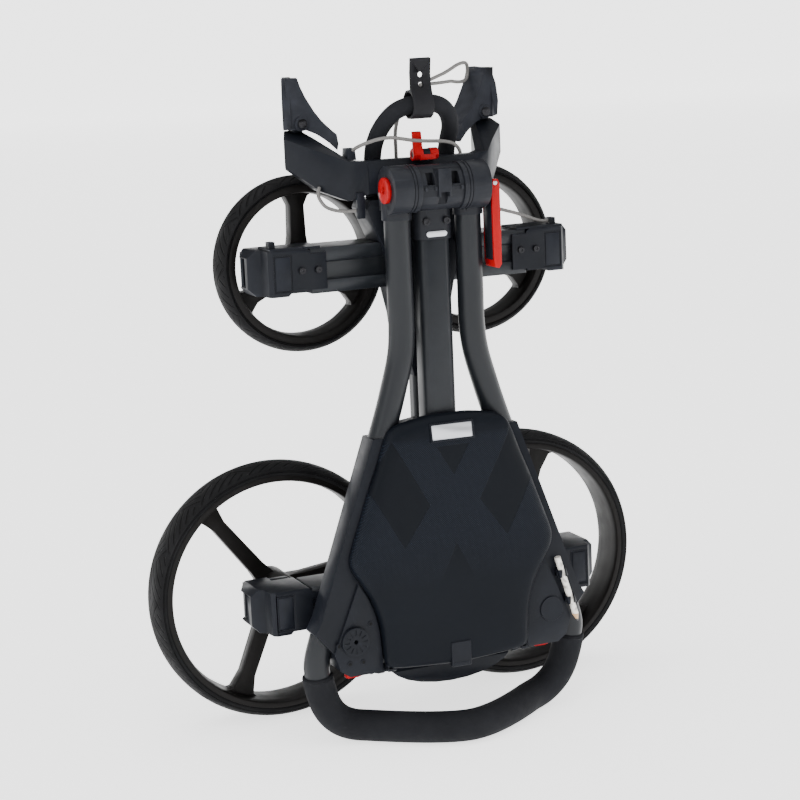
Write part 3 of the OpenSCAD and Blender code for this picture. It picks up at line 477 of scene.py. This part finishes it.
# ------------------------------------------------------------------ tyres
def make_tyre(name, blocks):
    node = name + "_tyre"
    low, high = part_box(node)
    centre = (low + high) / 2
    radius = (high.z - low.z) / 2
    half = (high.y - low.y) / 2
    rim_low, rim_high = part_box(name + "_rim")
    inner = (rim_high.x - rim_low.x) / 2
    crown = 16
    outline = [(inner, -half + 0.001), (inner + 0.0015, -half + 0.0004), (radius - 0.010, -half),
               (radius - 0.0092, -half + 0.0002), (radius - 0.0086, -half + 0.0009),
               (radius - 0.0078, -half + 0.0005)]
    for i in range(crown + 1):
        t = -1 + 2 * i / crown
        y = t * (half - 0.0035)
        outline.append((radius - 0.0045 * abs(t) ** 2.6, y))
    outline += [(radius - 0.0078, half - 0.0005), (radius - 0.0086, half - 0.0009),
                (radius - 0.0092, half - 0.0002), (radius - 0.010, half),
                (inner + 0.0015, half - 0.0004), (inner, half - 0.001)]
    mesh = bmesh.new()
    revolve(mesh, centre, outline, 160)
    rubber = tread(name + "_tyre_rubber", centre, radius, blocks)
    piece = new_object(name + "_tread", name + "_wheel", rubber, mesh)
    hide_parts(node)


for wheel, blocks in (("rear_left", 14), ("rear_right", 14), ("front_left", 10), ("front_right", 10)):
    make_tyre(wheel, blocks)
    soften(wheel + "_rim", 1.2, RIM)


# ------------------------------------------------------------------ handle bar and grip
# Right half of the handle bar's centre line, from the drum to the middle of the grip, in millimetres
BAR_HALF = [
    (42, -53, 592), (42, -53, 545), (42, -53, 500), (42, -53, 462), (45, -53, 432),
    (54, -52.5, 398), (68, -52, 354), (101, -49, 262), (131, -46.5, 178),
    (150, -44.5, 124), (157, -43.5, 99), (156.5, -42, 84), (154, -40.5, 70),
    (150.5, -39.5, 57), (146, -38.5, 45), (139, -38, 34), (129, -38.5, 25),
    (116, -42.5, 19.5), (99, -51, 17.7), (80, -65, 17.5), (60, -79, 17.5),
    (40, -91, 17.5), (20, -100, 17.5), (0, -104, 17.5)]
GRIP_START = 11
BAR_STEPS = 6


def both_sides(half):
    return [(-x, y, z) for x, y, z in half] + [p for p in reversed(half[:-1])]


def dense_ends(points, edge):
    """Adds close rings near both ends, so that a rounded end has a shape."""
    first = points[0] + (points[1] - points[0]).normalized() * edge
    last = points[-1] + (points[-2] - points[-1]).normalized() * edge
    start = [points[0].lerp(first, k / 5) for k in range(6)]
    end = [last.lerp(points[-1], k / 5) for k in range(6)]
    return start + points[1:-1] + end


def make_handle():
    line = in_mm(smooth(both_sides(BAR_HALF), BAR_STEPS))
    mesh = bmesh.new()
    add_rings(mesh, sweep(line, [14.45 * MM] * len(line), (0, 1, 0)))
    bar = new_object("bar_tube", "handle", TUBE, mesh)
    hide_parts("handle_bar")
    first = GRIP_START * BAR_STEPS
    grip = dense_ends(line[first:len(line) - first], 3 * MM)
    mesh = bmesh.new()
    add_rings(mesh, sweep(grip, rounded_ends(grip, 17.5 * MM, 3 * MM), (0, 1, 0), 40))
    sleeve = new_object("grip_sleeve", "handle", FOAM, mesh)
    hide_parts("foam_grip")


make_handle()


# ------------------------------------------------------------------ bag rest
ARCH_HALF = [
    (43.5, 4, 600), (44, 4.5, 622), (44.2, 3, 643), (44, -3, 658), (42.5, -14, 672),
    (37, -24, 685), (28, -31.5, 695), (15, -38, 700.5), (0, -41, 702)]


def make_arch():
    line = in_mm(smooth(both_sides(ARCH_HALF), 5))
    mesh = bmesh.new()
    add_rings(mesh, sweep(line, [9.5 * MM] * len(line), (0, 1, 0)))
    arch = new_object("arch_sleeve", "front_frame", FOAM, mesh)
    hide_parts("arch_tube")


make_arch()


# ------------------------------------------------------------------ console lid
LID_HALF = [
    (0, 366), (22, 365.5), (42, 363), (58, 359.5), (68, 354), (75, 344), (86, 314.5), (98, 285),
    (109, 254.5), (120, 224), (122, 213), (120, 203), (112, 189), (101, 170), (94, 151), (90, 133),
    (88, 108), (87, 96), (80, 88), (40, 84), (0, 82)]
LID_BACK = -67.5
LID_MIDDLE = 130
# Scale across, scale up and height above the lid's back, from the edge to the middle
LID_RINGS = [
    (1, 1, 0), (1, 1, 3), (0.999, 0.999, 5), (0.994, 0.995, 7.5), (0.984, 0.987, 9.8), (0.968, 0.974, 11.8),
    (0.945, 0.955, 13.4), (0.91, 0.93, 14.6), (0.86, 0.895, 15.5), (0.78, 0.85, 16.1), (0.66, 0.76, 16.4),
    (0.5, 0.6, 16.5), (0.3, 0.38, 16.5), (0.12, 0.15, 16.5)]


def make_lid():
    half = [(p.x, p.y) for p in smooth([(x, z, 0) for x, z in LID_HALF], 4)]
    outline = half + [(-x, z) for x, z in reversed(half[1:-1])]
    rings = []
    for kx, kz, high in LID_RINGS:
        rings.append([Vector((x * kx, LID_BACK - high, LID_MIDDLE + (z - LID_MIDDLE) * kz)) * MM
                      for x, z in outline])
    mesh = bmesh.new()
    inner = add_rings(mesh, rings, caps=False)[-1]
    centre = mesh.verts.new(Vector((0, LID_BACK - LID_RINGS[-1][2], LID_MIDDLE)) * MM)
    for a, b in zip(inner, inner[1:] + inner[:1]):
        mesh.faces.new((a, b, centre))
    bmesh.ops.recalc_face_normals(mesh, faces=mesh.faces)
    lid = new_object("lid_shell", "lid", LID, mesh)
    wall = lid.modifiers.new("wall", "SOLIDIFY")
    wall.thickness = 2.5 * MM
    wall.offset = -1
    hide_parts("console_lid")


make_lid()


def make_block(name, low, high, body, material, bevel=0.8, turn=None):
    """A box between two corners in millimetres, with rounded edges, optionally turned about X."""
    mesh = bmesh.new()
    bmesh.ops.create_cube(mesh, size=1)
    low, high = Vector(low) * MM, Vector(high) * MM
    for v in mesh.verts:
        v.co = Vector([low[i] + (v.co[i] + 0.5) * (high[i] - low[i]) for i in range(3)])
    bmesh.ops.bevel(mesh, geom=mesh.edges[:], offset=bevel * MM, segments=3, affect="EDGES", profile=0.6)
    if turn:
        place, angle = turn
        shift = Matrix.Translation(Vector(place) * MM) @ Matrix.Rotation(math.radians(angle), 4, "X")
        bmesh.ops.transform(mesh, matrix=shift, verts=mesh.verts)
    made = new_object(name, body, material, mesh)
    made.data.polygons.foreach_set("use_smooth", [False] * len(made.data.polygons))
    return made


def make_rod(name, centre, radius, length, axis, body, material, bevel=0.6):
    """A round rod with rounded ends; centre, radius and length in millimetres."""
    centre, axis = Vector(centre) * MM, Vector(axis)
    half, edge = length * MM / 2, bevel * MM
    near = (-half, -half + edge * 0.4, -half + edge)
    line = [centre + axis * t for t in (*near, *[-t for t in reversed(near)])]
    start = [radius * MM - edge, radius * MM - edge * 0.2, radius * MM]
    radii = start + start[::-1]
    up = (0, 0, 1) if abs(axis.z) < 0.9 else (0, 1, 0)
    mesh = bmesh.new()
    add_rings(mesh, sweep(line, radii, up, 40))
    bmesh.ops.recalc_face_normals(mesh, faces=mesh.faces)
    made = new_object(name, body, material, mesh)
    made.data.polygons.foreach_set("use_smooth", [len(p.vertices) == 4 for p in made.data.polygons])
    return made


# Middle of the blank plate on the lid's sloping shoulder, in millimetres, and its tilt about X in degrees
SHOULDER = ((0, -81.3, 347), -10)


def make_lid_trim():
    for name, low, high in (
            ("plate_frame_top", (-26, -2.6, 8.4), (26, 4, 10.2)),
            ("plate_frame_low", (-26, -2.6, -10.2), (26, 4, -8.4)),
            ("plate_frame_left", (-26, -2.6, -9), (-24.2, 4, 9)),
            ("plate_frame_right", (24.2, -2.6, -9), (26, 4, 9)),
            ("plate_bed", (-25, -0.4, -9), (25, 4, 9))):
        make_block(name, low, high, "lid", PLASTIC, 0.5, SHOULDER)
    make_block("lid_tab", (-12, -85.6, 80), (12, -79, 108.5), "lid", PLASTIC, 1.6)
    make_block("lid_tab_grip", (-9, -86.2, 82), (9, -84, 85), "lid", PLASTIC, 0.7)
    for side, s in (("left", -1), ("right", 1)):
        barrel = 82
        make_rod("lid_barrel_" + side, (barrel * s, -62, 86), 5, 7.2, (1, 0, 0), "lid",
                 PLASTIC)
        x0, x1 = sorted(((barrel - 3.6) * s, (barrel + 3.6) * s))
        make_block("lid_arm_" + side, (x0, -76, 84), (x1, -62, 91), "lid", PLASTIC, 1.5)
        make_block("lid_root_" + side, (x0, -76, 86), (x1, -71, 110), "lid", PLASTIC, 1.5)


make_lid_trim()


def make_console_trim():
    """Bosses around the left dial, each with a near-black disc as painted shade in place of its hole, the
    plain disc on the right, and the lugs under the panels.
    """
    make_rod("disc_right", (121, -70.6, 124), 14.5, 1.6, (0, 1, 0), "handle", PLASTIC, 0.4)
    for i, (x, z) in enumerate(((-101.5, 141), (-140, 121), (-112, 99), (-128, 99))):
        # each hole is a near-black disc on its boss: painted shade in place of a real hole
        for part, y, radius, length, material, edge in (
                ("boss", -70.3, 3.1, 1.0, PLASTIC, 0.3), ("hole", -70.7, 1.7, 0.5, HOLE_SHADE, 0.1)):
            make_rod("panel_%s_%d" % (part, i + 1), (x, y, z), radius, length, (0, 1, 0), "handle",
                     material, edge)
    for side, s in (("left", -1), ("right", 1)):
        for i, x in enumerate((93.5, 99.5)):
            make_rod("lug_%s_%d" % (side, i + 1), (s * x, -60, 84.2), 4.2, 3.6, (1, 0, 0), "handle",
                     PLASTIC, 0.8)


make_console_trim()


# ------------------------------------------------------------------ pieces that keep their CAD shape
for name in ("drum_core", "drum_half_left", "drum_half_right"):
    soften(name, 1.1, DRUM)
for name in ("bracket_bar", "bracket_wing_left", "bracket_wing_right", "cord_clip", "rear_casting",
             "rear_block_left", "rear_block_right", "front_casting", "front_block_left", "front_block_right",
             "console_tub", "console_wing_left", "console_wing_right",
             "rear_left_carrier", "rear_right_carrier", "front_left_carrier", "front_right_carrier"):
    soften(name, 1.1, PLASTIC)
for name in ("main_tube", "front_tube", "rear_arms", "front_arms"):
    soften(name, 0.8, TUBE)
for name in ("pad_left", "pad_right"):
    soften(name, 1.8, RUBBER, 25)
for name in ("end_cap", "release_lever", "button_left", "button_right", "cord_hook"):
    soften(name, 0.7, RED)
for name in ("fold_pin", "drum_axle"):
    soften(name, 0.3, STEEL)
for name in ("chassis_screws", "front_screws", "pad_pins"):
    soften(name, 0.3, DARK_STEEL)
# lever_insert is a black block on the red release lever's side that faces the tube: a dark piece standing in
# for painted shade on that side
for name in ("pencil_clips", "accessory_dial", "lever_insert"):
    soften(name, 0.4, PLASTIC)
for name in ("collar_plate", "name_plate"):
    soften(name, 0.2, PLATE)
soften("arch_strap", 0.5, STRAP)
paint("pencil", PENCIL)


# ------------------------------------------------------------------ floor and light
def make_stage():
    """A wide round floor of pale paper whose rim curves up past the horizon."""
    flat, bend, sides = 14.0, 3.0, 96
    profile = [(0.5, 0), (3, 0), (flat, 0)]
    profile += [(flat + bend * math.sin(t), bend * (1 - math.cos(t)))
                for t in (math.radians(10 * k) for k in range(1, 10))]
    mesh = bmesh.new()
    rings = [[(r * math.cos(2 * math.pi * k / sides), r * math.sin(2 * math.pi * k / sides), z)
              for k in range(sides)] for r, z in profile]
    made = add_rings(mesh, rings, caps=False)
    mesh.faces.new(made[0])
    bmesh.ops.recalc_face_normals(mesh, faces=mesh.faces)
    data = bpy.data.meshes.new("floor")
    mesh.to_mesh(data)
    mesh.free()
    data.polygons.foreach_set("use_smooth", [True] * len(data.polygons))
    floor = bpy.data.objects.new("floor", data)
    floor.location = (0, 0, -0.0005)
    bpy.context.collection.objects.link(floor)
    look = Look("floor_paper", (0.86, 0.86, 0.86), 0.7, level=0.2)
    look.bump(look.noise(300), 0.02, 0.0002)
    look.bsdf.inputs["Emission Color"].default_value = (1, 1, 1, 1)
    look.bsdf.inputs["Emission Strength"].default_value = 1.7
    data.materials.append(look.mat)


def make_light(name, place, target, size, power):
    data = bpy.data.lights.new(name, "AREA")
    data.shape = "RECTANGLE"
    data.size, data.size_y = size
    data.energy = power
    aim(name, data, place, target)


def aim(name, data, place, target):
    lamp = bpy.data.objects.new(name, data)
    lamp.location = place
    lamp.rotation_euler = (Vector(target) - Vector(place)).to_track_quat("-Z", "Y").to_euler()
    bpy.context.collection.objects.link(lamp)


def make_sky(power):
    """Broad soft light from above, which whitens the floor more than the upright faces."""
    data = bpy.data.lights.new("sky", "SUN")
    data.energy = power
    data.angle = math.radians(110)
    aim("sky", data, (-0.5, -0.6, 3), (0, 0, 0))


make_stage()
world = bpy.data.worlds.new("studio")
world.use_nodes = True
world.node_tree.nodes["Background"].inputs["Color"].default_value = (1, 1, 1, 1)
world.node_tree.nodes["Background"].inputs["Strength"].default_value = 0.2
bpy.context.scene.world = world
make_sky(3.5)
make_light("left", (-2.6, -1.2, 1.6), (0, 0, 0.4), (1.0, 2.0), 16)
make_light("right", (2.2, -1.6, 1.2), (0, 0, 0.4), (0.8, 1.8), 8)
